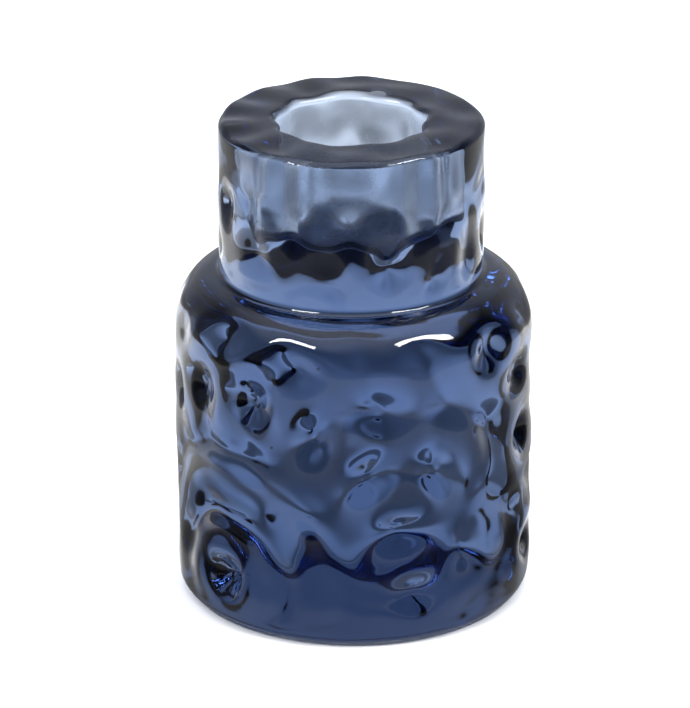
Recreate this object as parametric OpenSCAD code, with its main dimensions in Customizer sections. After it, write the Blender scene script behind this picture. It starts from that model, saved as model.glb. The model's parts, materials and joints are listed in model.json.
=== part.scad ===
// Glass candlestick: one thick casting of pressed blue glass, with a hammered outer face,
// a round shoulder, a cylindrical neck and a blind socket for one dinner candle.
// The origin is where the socket's axis meets the resting face, and +Z is up.

/* [Overall] */
// Height from the resting face to the rim
total_h = 80; // [72:1:110]

/* [Body] */
// Diameter of the body, to the middle of its relief
body_d = 57; // [47:0.5:75]
// Radius of the rounded edge round the resting face
base_edge_r = 2.9; // [1:0.1:4]
// Height of the top of the shoulder
shoulder_z = 54.3; // [42:0.1:60]
// Radius of the rounded shoulder
shoulder_r = 7.5; // [4:0.1:9]
// How far the body's axis stands off the neck's, along X
body_offset = 0.4; // [0:0.1:1]

/* [Neck] */
// Diameter of the neck, to the middle of its relief
neck_d = 42.4; // [35:0.1:46]
// Radius of the hollow where the neck meets the shoulder
neck_fillet_r = 1.2; // [0.5:0.1:2]
// Radius of the rounded outer edge of the rim
rim_edge_r = 1.1; // [0.5:0.1:2]

/* [Candle socket] */
// Diameter of the socket's straight wall, which takes a 22 mm dinner candle
socket_d = 22.5; // [18:0.1:27]
// Depth of the socket below the rim
socket_depth = 18; // [12:0.5:22]
// Radius of the socket's rounded mouth
socket_lip_r = 1.4; // [0.5:0.1:2]
// Radius of the rounded corner round the socket's floor
socket_floor_r = 2.8; // [1:0.1:4]

/* [Hammered relief] */
// Length of one wave of the relief, which is about the distance from lump to lump
relief_pitch = 10.2; // [8:0.1:16]
// Height of the relief on the body
body_relief = 0.35; // [0:0.05:1]
// Height of the relief on the neck
neck_relief = 0.2; // [0:0.05:0.5]
// How much narrower the hollows are than the lumps
relief_skew = 0.2; // [0:0.05:0.3]
// Length over which the relief grows or dies away
relief_fade = 6; // [3:0.5:10]
// Height of the plain band at the base
base_plain = 1; // [0:0.5:4]
// Height of the plain band below the rim
rim_plain = 6; // [3:0.5:10]
// Which one of the many possible patterns the relief follows
relief_seed = 7820; // [1:1:9999]

/* [Hidden] */

glass_colour = [0.24, 0.33, 0.50, 0.85];

body_r = body_d / 2;
neck_r = neck_d / 2;
socket_r = socket_d / 2;

// Centre of the shoulder's round, and of the hollow that rolls between it and the neck
shoulder_x = body_r - shoulder_r;
shoulder_centre_z = shoulder_z - shoulder_r;
fillet_x = neck_r + neck_fillet_r;
roll_r = shoulder_r + neck_fillet_r;
shoulder_turn = acos(max(fillet_x - shoulder_x, 0) / roll_r);
fillet_z = shoulder_centre_z + roll_r * sin(shoulder_turn);

// Spacing of the skin's points: round the part, up its walls, and along its rounded corners
segments = 72;
row_step = 2.1;
corner_steps = 4;

// The relief is a sum of waves of one length, which run in evenly spread directions
wave_count = 9;
wave_angles = [for (i = [0:wave_count - 1]) 180 * (i + 0.5) / wave_count];
// Whole waves round the body, degrees of phase per millimetre up it, and each wave's start
wave_turns = [for (a = wave_angles) round(PI * body_d / relief_pitch * cos(a))];
wave_climbs = [for (a = wave_angles) 360 / relief_pitch * sin(a)];
wave_starts = [for (i = [0:wave_count - 1]) 360 * scatter(relief_seed, i)];
wave_gain = sqrt(2 / wave_count);

// A fixed but patternless number from 0 to 1 for each seed and index
function scatter(seed, index) =
    let(x = 1000 * sin(12.9898 * seed + 78.233 * index)) x - floor(x);

function total(list, i = 0) = i < len(list) ? list[i] + total(list, i + 1) : 0;

// 0 below the first height, 1 above the second, and smooth between them
function fade(low, high, z) =
    let(t = min(max((z - low) / (high - low), 0), 1)) t * t * (3 - 2 * t);

// Height of the relief at an angle and a height, in units of its own typical height
function relief(angle, z) =
    let(waves = [for (i = [0:wave_count - 1])
            sin(wave_turns[i] * angle + wave_climbs[i] * z + wave_starts[i])],
        wave = wave_gain * total(waves))
    wave - relief_skew * (wave * wave - 1);

// The relief is strongest on the body, dies away on the shoulder, and leaves the rim plain
function relief_height(z) =
    body_relief * fade(base_plain, base_plain + relief_fade, z)
        * (1 - fade(shoulder_centre_z - relief_fade / 2, shoulder_centre_z + relief_fade, z))
    + neck_relief * fade(fillet_z, fillet_z + relief_fade / 2, z)
        * (1 - fade(total_h - rim_plain - relief_fade, total_h - rim_plain, z));

function axis_x(z) = body_offset * (1 - fade(shoulder_centre_z, fillet_z, z));

// Points [radius, height] along an arc, and up a straight wall between two heights
function arc(x, z, r, from, to) =
    [for (i = [0:corner_steps])
        let(a = from + (to - from) * i / corner_steps) [x + r * cos(a), z + r * sin(a)]];
function wall(r, from, to) =
    let(rows = round((to - from) / row_step))
    [for (i = [1:rows - 1]) [r, from + (to - from) * i / rows]];

// Half outline of the plain form, from the resting face's edge to the rim
outline = concat(
    arc(body_r - base_edge_r, base_edge_r, base_edge_r, -90, 0),
    wall(body_r, base_edge_r, shoulder_centre_z),
    arc(shoulder_x, shoulder_centre_z, shoulder_r, 0, shoulder_turn),
    arc(fillet_x, fillet_z, neck_fillet_r, shoulder_turn + 180, 180),
    wall(neck_r, fillet_z, total_h - rim_edge_r),
    arc(neck_r - rim_edge_r, total_h - rim_edge_r, rim_edge_r, 0, 90));

// The shoulder and its hollow share a point where they touch, which is listed once
rings = [for (i = [0:len(outline) - 1])
    if (i == 0 || norm(outline[i] - outline[i - 1]) > 0.001) outline[i]];

function skin_point(ring, angle) =
    let(r = ring[0] + relief_height(ring[1]) * relief(angle, ring[1]))
    [axis_x(ring[1]) + r * cos(angle), r * sin(angle), ring[1]];

// The outer form, closed by a flat resting face and a flat rim
module hammered_form() {
    points = [for (ring = rings) for (i = [0:segments - 1]) skin_point(ring, 360 * i / segments)];
    sides = [for (k = [0:len(rings) - 2]) for (i = [0:segments - 1])
        let(a = k * segments + i,
            b = k * segments + (i + 1) % segments,
            c = a + segments,
            d = b + segments)
        each [[a, c, d], [a, d, b]]];
    resting_face = [for (i = [0:segments - 1]) i];
    rim = [for (i = [0:segments - 1]) len(points) - 1 - i];
    polyhedron(points = points, faces = concat([resting_face], sides, [rim]));
}

// The socket's hollow: a straight bore with a round-cornered floor and a rounded mouth
module socket() {
    above = 1;
    translate([0, 0, total_h - socket_depth])
        rotate_extrude($fn = 96) difference() {
            union() {
                translate([0, socket_floor_r]) square([socket_r, socket_depth - socket_floor_r]);
                translate([socket_r - socket_floor_r, socket_floor_r]) circle(r = socket_floor_r);
                square([socket_r - socket_floor_r, socket_floor_r]);
                translate([0, socket_depth - socket_lip_r])
                    square([socket_r + socket_lip_r, socket_lip_r + above]);
            }
            translate([socket_r + socket_lip_r, socket_depth - socket_lip_r])
                circle(r = socket_lip_r);
        }
}

module glass_body() {
    color(glass_colour) difference() {
        hammered_form();
        socket();
    }
}

glass_body();
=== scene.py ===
"""Looks of the glass candlestick: one smooth casting of hammered blue glass on a pale floor."""

import json
import math

import bpy
import numpy as np
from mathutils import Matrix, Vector


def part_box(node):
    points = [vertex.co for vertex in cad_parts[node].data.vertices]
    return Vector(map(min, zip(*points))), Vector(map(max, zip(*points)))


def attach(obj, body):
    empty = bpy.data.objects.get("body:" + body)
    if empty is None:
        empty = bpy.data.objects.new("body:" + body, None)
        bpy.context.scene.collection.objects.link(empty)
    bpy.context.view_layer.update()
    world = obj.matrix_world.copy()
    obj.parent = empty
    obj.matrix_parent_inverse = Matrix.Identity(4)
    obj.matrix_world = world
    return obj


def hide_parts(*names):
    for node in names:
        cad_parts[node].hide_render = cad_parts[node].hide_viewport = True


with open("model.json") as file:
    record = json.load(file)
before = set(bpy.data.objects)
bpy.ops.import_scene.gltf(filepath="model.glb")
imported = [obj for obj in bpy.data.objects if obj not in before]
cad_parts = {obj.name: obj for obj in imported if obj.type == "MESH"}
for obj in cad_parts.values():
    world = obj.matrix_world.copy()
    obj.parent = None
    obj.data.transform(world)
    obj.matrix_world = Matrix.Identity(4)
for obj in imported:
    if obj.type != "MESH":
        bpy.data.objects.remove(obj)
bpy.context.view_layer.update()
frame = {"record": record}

MM = 0.001

# ---- Sizes in millimetres: the CAD model's own, or read from its frame ----

low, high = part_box("glass_body")
socket_mount = next(m for m in frame["record"]["mounts"] if m["name"] == "candle_socket")

TOTAL_H = high.z / MM
SOCKET_R = socket_mount["dims"]["r_mm"]
SOCKET_DEPTH = 18.0
SOCKET_LIP_R = 1.4
SOCKET_FLOOR_R = 2.8
BODY_R = 28.5
BASE_EDGE_R = 2.9
SHOULDER_Z = 54.3
SHOULDER_R = 7.5
BODY_OFFSET = 0.4
NECK_R = 21.2
NECK_FILLET_R = 1.2
RIM_EDGE_R = 1.1

# The hammered relief: its heights, its wave's length, and where it grows and dies away
BODY_RELIEF = 0.35
NECK_RELIEF = 0.2
RELIEF_PITCH = 10.2
RELIEF_SKEW = 0.2
RELIEF_SEED = 7820
RELIEF_FADE = 6.0
BASE_PLAIN = 1.0
RIM_PLAIN = 6.0
SHOULDER_FADE = 7.5
WAVE_COUNT = 9

# Derived: the shoulder's round, and the hollow that rolls between it and the neck
shoulder_x = BODY_R - SHOULDER_R
shoulder_centre_z = SHOULDER_Z - SHOULDER_R
fillet_x = NECK_R + NECK_FILLET_R
roll_r = SHOULDER_R + NECK_FILLET_R
shoulder_turn = math.degrees(math.acos(max(fillet_x - shoulder_x, 0) / roll_r))
fillet_z = shoulder_centre_z + roll_r * math.sin(math.radians(shoulder_turn))
socket_floor_z = TOTAL_H - SOCKET_DEPTH
mouth_r = SOCKET_R + SOCKET_LIP_R
rim_r = NECK_R - RIM_EDGE_R

# ---- Small unevenness that only the looks show, in millimetres ----

# The pressed socket's soft flutes: how many, how deep, how unevenly they are spread, and
# where on the socket's floor they start
FLUTES = 9
FLUTE_DEPTH = 0.6
FLUTE_DRIFT = 1.3
FLUTE_START_R = SOCKET_R * 0.6

# How far the mouth wavers, how deep below the rim, and where on the rim that ends
MOUTH_WAVER = 0.35
MOUTH_DEPTH = 4.0
MOUTH_START_R = SOCKET_R + 2.0
MOUTH_END_R = SOCKET_R + 5.0

# How far the rim wavers outwards, dips, and ripples along its top. The ripples are sunk by
# their typical height times RIM_RIPPLE_SINK, so that they stay under the plain rim
RIM_WAVER = 0.25
RIM_DIP = 0.25
RIM_START_R = SOCKET_R + 4.0
RIM_RIPPLE = 0.1
RIM_RIPPLE_PITCH = 8.0
RIM_RIPPLE_SEED = 5
RIM_RIPPLE_SINK = 1.6

# Seeds, the tiny gas bubbles in the glass: direction in degrees (the front is -90), height,
# distance from the axis, and radius
SEEDS = [
    (-101, 47.0, 24.5, 0.22),
    (-63, 49.5, 23.0, 0.25),
    (-118, 33.0, 25.5, 0.2),
    (-80, 22.0, 22.0, 0.18),
    (-52, 14.0, 24.0, 0.22),
    (-130, 9.0, 23.0, 0.18),
    (-140, 67.0, 17.5, 0.18),
]
SEED_SIDES = 12
SEED_RINGS = 6

# Spacing of the mesh's points: up the relief, along the plain faces, and round the part
FINE_STEP = 0.5
PLAIN_STEP = 1.0
FLOOR_STEP = 1.5
BASE_STEP = 2.0
SEGMENTS = 320


def fade(lowest, highest, z):
    """0 below the first height, 1 above the second, and smooth between them."""
    t = np.clip((z - lowest) / (highest - lowest), 0, 1)
    return t * t * (3 - 2 * t)


def scatter(seed, index):
    """A fixed but patternless number from 0 to 1 for each seed and index."""
    return (1000 * math.sin(math.radians(12.9898 * seed + 78.233 * index))) % 1


def sum_of_waves(phase, seed):
    """Waves of one length in evenly spread directions; phase gives each direction's own."""
    wave = 0
    for i in range(WAVE_COUNT):
        way = math.pi * (i + 0.5) / WAVE_COUNT
        wave = wave + np.sin(phase(way) + 2 * math.pi * scatter(seed, i))
    return wave * math.sqrt(2 / WAVE_COUNT)


def relief(angle, z):
    """Height of the hammered relief, in units of its own typical height."""
    def phase(way):
        turns = round(2 * math.pi * BODY_R / RELIEF_PITCH * math.cos(way))
        climb = 2 * math.pi * math.sin(way) / RELIEF_PITCH
        return turns * angle + climb * z
    wave = sum_of_waves(phase, RELIEF_SEED)
    return wave - RELIEF_SKEW * (wave * wave - 1)


def relief_height(z):
    """The relief is strongest on the body, dies away on the shoulder, and leaves the rim plain."""
    on_body = fade(BASE_PLAIN, BASE_PLAIN + RELIEF_FADE, z) * (
        1 - fade(shoulder_centre_z, shoulder_centre_z + SHOULDER_FADE, z))
    on_neck = fade(fillet_z, fillet_z + RELIEF_FADE / 2, z) * (
        1 - fade(TOTAL_H - RIM_PLAIN - RELIEF_FADE, TOTAL_H - RIM_PLAIN, z))
    return BODY_RELIEF * on_body + NECK_RELIEF * on_neck


def ripples(x, y):
    """The ripples across the rim's top, in units of their own typical height."""
    def phase(way):
        return 2 * math.pi / RIM_RIPPLE_PITCH * (x * math.cos(way) + y * math.sin(way))
    return sum_of_waves(phase, RIM_RIPPLE_SEED)


def waver(angle, turns, seed):
    """A slow uneven wave round the part, from -1 to 1: the sum of a few whole numbers of turns."""
    waves = (np.sin(n * angle + 2 * math.pi * scatter(seed, i)) for i, n in enumerate(turns))
    return sum(waves) / len(turns)


def arc(x, z, r, start, end, steps):
    """Points [radius, height] along an arc."""
    turns = np.radians(np.linspace(start, end, steps + 1))
    return [(x + r * math.cos(t), z + r * math.sin(t)) for t in turns]


def line(a, b, step):
    """Points from a towards b, without b."""
    count = max(1, round(math.dist(a, b) / step))
    return [(a[0] + (b[0] - a[0]) * i / count, a[1] + (b[1] - a[1]) * i / count)
            for i in range(count)]


def outer_outline():
    """Half outline of the plain form, from the middle of the resting face to the rim."""
    base_r = BODY_R - BASE_EDGE_R
    rim_z = TOTAL_H - RIM_EDGE_R
    out = line((0, 0), (base_r, 0), BASE_STEP)
    out += arc(base_r, BASE_EDGE_R, BASE_EDGE_R, -90, 0, steps=12)
    out += line((BODY_R, BASE_EDGE_R), (BODY_R, shoulder_centre_z), FINE_STEP)[1:]
    out += arc(shoulder_x, shoulder_centre_z, SHOULDER_R, 0, shoulder_turn, steps=20)
    out += arc(fillet_x, fillet_z, NECK_FILLET_R, shoulder_turn + 180, 180, steps=8)[1:]
    out += line((NECK_R, fillet_z), (NECK_R, rim_z), FINE_STEP)[1:]
    out += arc(rim_r, rim_z, RIM_EDGE_R, 0, 90, steps=8)
    return out


def socket_outline():
    """The outline on from the rim: across its top, and down the socket to its floor's middle."""
    lip_z = TOTAL_H - SOCKET_LIP_R
    corner_z = socket_floor_z + SOCKET_FLOOR_R
    floor_r = SOCKET_R - SOCKET_FLOOR_R
    out = line((rim_r, TOTAL_H), (mouth_r, TOTAL_H), PLAIN_STEP)[1:]
    out += arc(mouth_r, lip_z, SOCKET_LIP_R, 90, 180, steps=8)
    out += line((SOCKET_R, lip_z), (SOCKET_R, corner_z), PLAIN_STEP)[1:]
    out += arc(floor_r, corner_z, SOCKET_FLOOR_R, 0, -90, steps=10)
    out += line((floor_r, socket_floor_z), (0, socket_floor_z), FLOOR_STEP)[1:]
    return out + [(0, socket_floor_z)]


def casting_points():
    """One ring of points for each point of the outline, with all the relief and unevenness."""
    skin = outer_outline()
    outline = np.array(skin + socket_outline())
    r = outline[:, 0][:, None]
    z = outline[:, 1][:, None]
    on_skin = np.zeros_like(r)
    on_skin[: len(skin)] = 1
    pressed = 1 - on_skin
    angle = np.linspace(0, 2 * math.pi, SEGMENTS, endpoint=False)[None, :]
    r = r + on_skin * relief_height(z) * relief(angle, z)
    flutes = 0.5 + 0.5 * np.sin(FLUTES * angle + FLUTE_DRIFT * np.sin(2 * angle))
    r = r + pressed * FLUTE_DEPTH * flutes * fade(FLUTE_START_R, SOCKET_R, r)
    near_mouth = fade(TOTAL_H - MOUTH_DEPTH, TOTAL_H, z) * (1 - fade(MOUTH_START_R, MOUTH_END_R, r))
    r = r + pressed * near_mouth * MOUTH_WAVER * (1 + waver(angle, (3, 5, 7, 11), seed=1)) / 2
    near_rim = fade(TOTAL_H - RIM_PLAIN, TOTAL_H, z) * fade(RIM_START_R, rim_r, r)
    r = r + near_rim * RIM_WAVER * waver(angle, (2, 3, 5, 8), seed=2)
    z = z - near_rim * RIM_DIP * (1 + waver(angle, (2, 3, 4, 7), seed=3)) / 2
    on_rim = fade(TOTAL_H - RIM_EDGE_R, TOTAL_H - RIM_EDGE_R / 2, z) * fade(SOCKET_R, mouth_r, r)
    rippled = ripples(r * np.cos(angle), r * np.sin(angle))
    z = z - on_rim * RIM_RIPPLE * (RIM_RIPPLE_SINK + rippled)
    shift = BODY_OFFSET * on_skin * (1 - fade(shoulder_centre_z, fillet_z, z))
    return np.stack([r * np.cos(angle) + shift, r * np.sin(angle), z + 0 * angle], axis=2)


def casting_shell():
    """The closed skin of the casting, in metres, held inside the CAD model's box."""
    rings = casting_points()[1:-1]
    poles = [[BODY_OFFSET, 0, 0], [0, 0, socket_floor_z]]
    verts = np.vstack([rings.reshape(-1, 3), poles]) * MM
    base_pole, floor_pole = len(verts) - 2, len(verts) - 1
    here = np.arange(SEGMENTS)
    after = (here + 1) % SEGMENTS
    faces = []
    for k in range(len(rings) - 1):
        a, b = k * SEGMENTS, (k + 1) * SEGMENTS
        faces += list(zip(a + here, a + after, b + after, b + here))
    last = (len(rings) - 1) * SEGMENTS
    faces += [(base_pole, n, m) for m, n in zip(here, after)]
    faces += [(floor_pole, last + m, last + n) for m, n in zip(here, after)]
    return np.clip(verts, tuple(low), tuple(high)), faces


def seed_bubbles():
    """Small round hollows, in metres, with faces that look into the hollow."""
    verts, faces = [], []
    for direction, height, distance, radius in SEEDS:
        a = math.radians(direction)
        middle = np.array([distance * math.cos(a), distance * math.sin(a), height])
        first = len(verts)
        verts.append(middle - [0, 0, radius])
        for k in range(1, SEED_RINGS):
            tilt = -math.pi / 2 + math.pi * k / SEED_RINGS
            for m in range(SEED_SIDES):
                turn = 2 * math.pi * m / SEED_SIDES
                verts.append(middle + radius * np.array(
                    [math.cos(tilt) * math.cos(turn), math.cos(tilt) * math.sin(turn), math.sin(tilt)]))
        verts.append(middle + [0, 0, radius])
        last = len(verts) - 1
        top = last - SEED_SIDES
        for m in range(SEED_SIDES):
            n = (m + 1) % SEED_SIDES
            faces.append((first, first + 1 + m, first + 1 + n))
            for k in range(SEED_RINGS - 2):
                a0 = first + 1 + k * SEED_SIDES
                b0 = a0 + SEED_SIDES
                faces.append((a0 + m, b0 + m, b0 + n, a0 + n))
            faces.append((last, top + n, top + m))
    return np.array(verts) * MM, faces


def casting_mesh():
    verts, faces = casting_shell()
    bubble_verts, bubble_faces = seed_bubbles()
    faces += [tuple(v + len(verts) for v in face) for face in bubble_faces]
    verts = np.vstack([verts, bubble_verts])
    mesh = bpy.data.meshes.new("glass_casting")
    mesh.from_pydata(verts.tolist(), [], [tuple(int(v) for v in face) for face in faces])
    mesh.polygons.foreach_set("use_smooth", [True] * len(mesh.polygons))
    mesh.validate()
    mesh.update()
    return mesh


# ---- Shader nodes ----


def add_node(tree, kind, values=None, **settings):
    """A new shader node, with its settings and the plain values of its inputs."""
    node = tree.nodes.new("ShaderNode" + kind)
    for name, value in settings.items():
        setattr(node, name, value)
    for name, value in (values or {}).items():
        node.inputs[name].default_value = value
    return node


def add_range(tree, value, start, end, low_out=0.0, high_out=1.0, smooth=False):
    """The output of a node that turns a value's range into another range."""
    node = add_node(tree, "MapRange", {
        "From Min": start, "From Max": end, "To Min": low_out, "To Max": high_out})
    if smooth:
        node.interpolation_type = "SMOOTHSTEP"
    tree.links.new(value, node.inputs["Value"])
    return node.outputs[0]


def add_math(tree, operation, a, b, values=None):
    """The output of a node that combines two outputs."""
    node = add_node(tree, "Math", values, operation=operation)
    tree.links.new(a, node.inputs[0])
    tree.links.new(b, node.inputs[1])
    return node.outputs[0]


def add_noise(tree, place, values):
    """The output of a noise node that is fixed to the object."""
    node = add_node(tree, "TexNoise", values)
    tree.links.new(place, node.inputs["Vector"])
    return node.outputs["Fac"]


def distance_from_axis(tree, split):
    flat = add_node(tree, "CombineXYZ")
    tree.links.new(split.outputs["X"], flat.inputs["X"])
    tree.links.new(split.outputs["Y"], flat.inputs["Y"])
    length = add_node(tree, "VectorMath", operation="LENGTH")
    tree.links.new(flat.outputs[0], length.inputs[0])
    return length.outputs["Value"]


# ---- Glass ----

GLASS_IOR = 1.52
GLASS_TINT = (0.167, 0.323, 0.562, 1)
GLASS_DENSITY = 60
POLISH = 0.045

# The pressed socket has a faint frost, in patches, and a painted shade: the colour below tints its
# walls darker and bluer, standing in for the dimmer surroundings seen through the frost. Frost and
# painted shade die away outwards across the mouth's round, and downwards just under the socket's floor
SOCKET_PAINTED_SHADE = (0.66, 0.76, 0.91, 1)
FROST_LOW = 0.15
FROST_HIGH = 0.32
FROST_SCALE = 160
GRAIN_LOW, GRAIN_HIGH = 0.35, 0.65
FROST_AND_SHADE_START_R = SOCKET_R + 2.0
FROST_AND_SHADE_FULL_R = SOCKET_R + 0.9
FROST_AND_SHADE_START_Z = socket_floor_z - 1.5
FROST_AND_SHADE_FULL_Z = socket_floor_z - 1.0

# The slight swirl of the fire-polished skin
SWIRL_SCALE = 80
SWIRL_DEPTH = 0.1


def socket_mask_for_frost_and_shade(tree, place):
    """1 inside the socket, and 0 on the rest of the glass."""
    split = add_node(tree, "SeparateXYZ")
    tree.links.new(place, split.inputs[0])
    reach = distance_from_axis(tree, split)
    near_axis = add_range(tree, reach, FROST_AND_SHADE_START_R * MM, FROST_AND_SHADE_FULL_R * MM)
    above_floor = add_range(tree, split.outputs["Z"], FROST_AND_SHADE_START_Z * MM, FROST_AND_SHADE_FULL_Z * MM)
    return add_math(tree, "MULTIPLY", near_axis, above_floor)


def glass_material():
    """Blue glass all through, polished outside, with a faint frost in the socket and a painted shade
    that tints the socket's walls darker and bluer.
    """
    mat = bpy.data.materials.new("blue_glass")
    mat.use_nodes = True
    tree = mat.node_tree
    bsdf = tree.nodes["Principled BSDF"]
    bsdf.inputs["IOR"].default_value = GLASS_IOR
    bsdf.inputs["Transmission Weight"].default_value = 1
    place = add_node(tree, "TexCoord").outputs["Object"]
    frost_and_painted_shade = socket_mask_for_frost_and_shade(tree, place)

    # Painted shade: the socket's walls are tinted darker and bluer
    socket_shade_colour = add_node(tree, "Mix", {"A": (1, 1, 1, 1), "B": SOCKET_PAINTED_SHADE}, data_type="RGBA")
    tree.links.new(frost_and_painted_shade, socket_shade_colour.inputs["Factor"])
    tree.links.new(socket_shade_colour.outputs["Result"], bsdf.inputs["Base Color"])

    patches = add_noise(tree, place, {"Scale": FROST_SCALE, "Detail": 4})
    grain = add_range(tree, patches, GRAIN_LOW, GRAIN_HIGH, FROST_LOW, FROST_HIGH)
    roughness = add_math(tree, "MULTIPLY_ADD", frost_and_painted_shade, grain, {2: POLISH})
    tree.links.new(roughness, bsdf.inputs["Roughness"])

    swirl = add_noise(tree, place, {"Scale": SWIRL_SCALE, "Detail": 2, "Distortion": 0.6})
    bump = add_node(tree, "Bump", {"Strength": 1, "Distance": SWIRL_DEPTH * MM})
    tree.links.new(swirl, bump.inputs["Height"])
    tree.links.new(bump.outputs[0], bsdf.inputs["Normal"])

    absorb = add_node(tree, "VolumeAbsorption", {"Color": GLASS_TINT, "Density": GLASS_DENSITY})
    tree.links.new(absorb.outputs[0], tree.nodes["Material Output"].inputs["Volume"])
    return mat


casting = bpy.data.objects.new("glass_casting", casting_mesh())
bpy.context.scene.collection.objects.link(casting)
casting.data.materials.append(glass_material())
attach(casting, "root")
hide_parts("glass_body")

# ---- Floor: plain white paper to the eye, and painted light and shadow on a floor that the glass sees ----

FLOOR_Z = -0.0002
FLOOR_SIZE = 4.0
FLOOR_WHITE = 0.85

# The painted light and shadow on the glass's floor, as its glow at each distance from the object, in
# metres: painted shadow under the object, painted pools of light around and beyond it; and the largest
# of both
GLOW = [
    (0, 0.15),
    (0.024, 0.2),
    (0.034, 1.4),
    (0.05, 0.4),
    (0.08, 0.9),
    (0.13, 1.5),
    (0.175, 1.7),
    (0.2, 0.7),
    (0.25, 0.5),
    (0.3, 0.4),
]
GLOW_REACH = 0.3
GLOW_SCALE = 2

# The painted glow is full behind the object and dimmer before it, a painted shade in front. The bearing
# is the cosine of the angle from the direction behind the object, which is turned a little
GLOW_TURN = -8
DIM_BEARING = -0.1
FULL_BEARING = 0.5
FRONT_GLOW = 0.32


def floor_plane(name, material):
    s = FLOOR_SIZE / 2
    corners = [(-s, -s, FLOOR_Z), (s, -s, FLOOR_Z), (s, s, FLOOR_Z), (-s, s, FLOOR_Z)]
    mesh = bpy.data.meshes.new(name)
    mesh.from_pydata(corners, [], [(0, 1, 2, 3)])
    plane = bpy.data.objects.new(name, mesh)
    bpy.context.scene.collection.objects.link(plane)
    plane.data.materials.append(material)
    return plane


def paper_material():
    mat = bpy.data.materials.new("white_paper")
    mat.use_nodes = True
    bsdf = mat.node_tree.nodes["Principled BSDF"]
    bsdf.inputs["Base Color"].default_value = (FLOOR_WHITE, FLOOR_WHITE, FLOOR_WHITE, 1)
    bsdf.inputs["Roughness"].default_value = 0.9
    bsdf.inputs["Specular IOR Level"].default_value = 0.1
    return mat


def glow_by_distance(tree, position):
    """The curve of GLOW over the distance from the object, as a share of GLOW_SCALE."""
    reach = add_node(tree, "VectorMath", operation="LENGTH")
    tree.links.new(position, reach.inputs[0])
    outward = add_range(tree, reach.outputs["Value"], 0, GLOW_REACH)
    grade = add_node(tree, "FloatCurve")
    tree.links.new(outward, grade.inputs["Value"])
    curve = grade.mapping.curves[0]
    stops = [(r / GLOW_REACH, level / GLOW_SCALE) for r, level in GLOW]
    curve.points[0].location = stops[0]
    curve.points[1].location = stops[-1]
    for stop in stops[1:-1]:
        curve.points.new(*stop)
    for point in curve.points:
        point.handle_type = "AUTO_CLAMPED"
    grade.mapping.update()
    return grade.outputs[0]


def glow_by_bearing(tree, position):
    """Full behind the object, and down to FRONT_GLOW before it."""
    toward = add_node(tree, "VectorMath", operation="NORMALIZE")
    tree.links.new(position, toward.inputs[0])
    turn = math.radians(GLOW_TURN)
    behind = (math.sin(turn), math.cos(turn), 0)
    bearing = add_node(tree, "VectorMath", {1: behind}, operation="DOT_PRODUCT")
    tree.links.new(toward.outputs[0], bearing.inputs[0])
    dim = FRONT_GLOW * GLOW_SCALE
    return add_range(tree, bearing.outputs["Value"], DIM_BEARING, FULL_BEARING, dim, GLOW_SCALE, True)


def painted_glow_floor_material():
    """A floor that glows with painted light and shadow: brightest behind the object, and dim beside,
    under and before it, as painted shadow and shade.
    """
    mat = bpy.data.materials.new("light_table")
    mat.use_nodes = True
    tree = mat.node_tree
    tree.nodes.remove(tree.nodes["Principled BSDF"])
    position = add_node(tree, "NewGeometry").outputs["Position"]
    strength = add_math(
        tree, "MULTIPLY", glow_by_distance(tree, position), glow_by_bearing(tree, position))
    glow = add_node(tree, "Emission")
    tree.links.new(strength, glow.inputs["Strength"])
    tree.links.new(glow.outputs[0], tree.nodes["Material Output"].inputs["Surface"])
    return mat


shown_floor = floor_plane("shown_floor", paper_material())
shown_floor.visible_diffuse = False
shown_floor.visible_glossy = False
shown_floor.visible_transmission = False
shown_floor.visible_shadow = False
# Seen only by the glass: this floor's glow is painted light and shadow, dark under and before the
# object and bright behind it.
lit_floor = floor_plane("lit_floor", painted_glow_floor_material())
lit_floor.visible_camera = False
lit_floor.visible_diffuse = False
lit_floor.visible_shadow = False

# ---- Room: dim, with a bright wall behind the object, a paler left wall and a pale ceiling ----

ROOM_TINT = (0.9, 0.96, 1.1, 1)
SIDE_LEVEL = 0.09
BACK_LEVEL = 0.55
LEFT_LEVEL = 0.25
TOP_LEVEL = 1.6

# Where each wall starts and is full, as a share of the direction that faces it
BACK_START, BACK_FULL = 0.3, 0.85
LEFT_START, LEFT_FULL = -0.2, -0.9
TOP_START, TOP_FULL = 0.5, 1.0


def studio_world():
    world = bpy.data.worlds.new("studio")
    bpy.context.scene.world = world
    world.use_nodes = True
    tree = world.node_tree
    split = add_node(tree, "SeparateXYZ")
    tree.links.new(add_node(tree, "TexCoord").outputs["Generated"], split.inputs[0])
    back = add_range(tree, split.outputs["Y"], BACK_START, BACK_FULL, SIDE_LEVEL, BACK_LEVEL, True)
    left = add_range(tree, split.outputs["X"], LEFT_START, LEFT_FULL, 0, LEFT_LEVEL, True)
    top = add_range(tree, split.outputs["Z"], TOP_START, TOP_FULL, 0, TOP_LEVEL, True)
    walls = add_math(tree, "MAXIMUM", back, left)
    level = add_math(tree, "MAXIMUM", walls, top)
    background = tree.nodes["Background"]
    tree.links.new(level, background.inputs["Strength"])
    background.inputs["Color"].default_value = ROOM_TINT


studio_world()

# ---- Lights: two narrow softboxes for the glints, and a soft fill from above ----

LIGHT_AIM = Vector((0, 0, 0.04))


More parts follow.
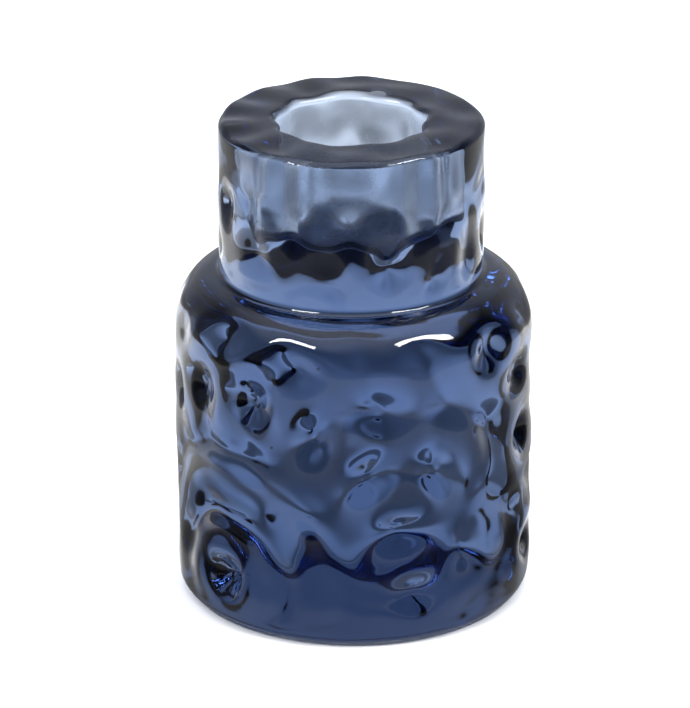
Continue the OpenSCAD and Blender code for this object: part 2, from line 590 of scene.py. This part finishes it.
def softbox(name, azimuth, elevation, distance, width, height, watts):
    """A rectangular light that faces the object; azimuth 0 is the front, and 90 the right."""
    light = bpy.data.lights.new(name, "AREA")
    light.shape = "RECTANGLE"
    light.size = width
    light.size_y = height
    light.energy = watts
    ob = bpy.data.objects.new(name, light)
    a, e = math.radians(azimuth), math.radians(elevation)
    outward = Vector((math.sin(a) * math.cos(e), -math.cos(a) * math.cos(e), math.sin(e)))
    ob.location = LIGHT_AIM + outward * distance
    ob.rotation_euler = (-outward).to_track_quat("-Z", "Y").to_euler()
    bpy.context.scene.collection.objects.link(ob)
    return ob


softbox("left_softbox", azimuth=-45, elevation=45, distance=1.0, width=0.35, height=0.15, watts=5.5)
softbox("right_softbox", azimuth=60, elevation=47, distance=1.0, width=0.5, height=0.15, watts=7)
fill = softbox("fill", azimuth=0, elevation=90, distance=1.5, width=2.5, height=2.5, watts=30)
fill.visible_glossy = False
fill.visible_transmission = False

# ---- Camera: a long lens, a little above the object ----

CAMERA_ELEVATION = 22.1
CAMERA_DISTANCE = 0.906
CAMERA_LENS = 284.6
CAMERA_SHIFT = (-0.0086, -0.0057)

cam = bpy.data.cameras.new("camera")
cam.lens = CAMERA_LENS
cam.sensor_width = 36
cam.shift_x, cam.shift_y = CAMERA_SHIFT
camera = bpy.data.objects.new("camera", cam)
rise = math.radians(CAMERA_ELEVATION)
toward_camera = Vector((0, -math.cos(rise), math.sin(rise)))
camera.location = Vector((0, 0, TOTAL_H * MM / 2)) + toward_camera * CAMERA_DISTANCE
camera.rotation_euler = (-toward_camera).to_track_quat("-Z", "Y").to_euler()
bpy.context.scene.collection.objects.link(camera)
bpy.context.scene.camera = camera

# ---- View and light paths: glass needs many bounces ----

BLACK_LEVEL = 0.003

scene = bpy.context.scene
scene.view_settings.view_transform = "Standard"
scene.view_settings.use_curve_mapping = True
scene.view_settings.curve_mapping.black_level = (BLACK_LEVEL, BLACK_LEVEL, BLACK_LEVEL)
scene.view_settings.curve_mapping.update()
scene.cycles.max_bounces = 32
scene.cycles.transmission_bounces = 32
scene.cycles.glossy_bounces = 16
scene.cycles.use_denoising = True
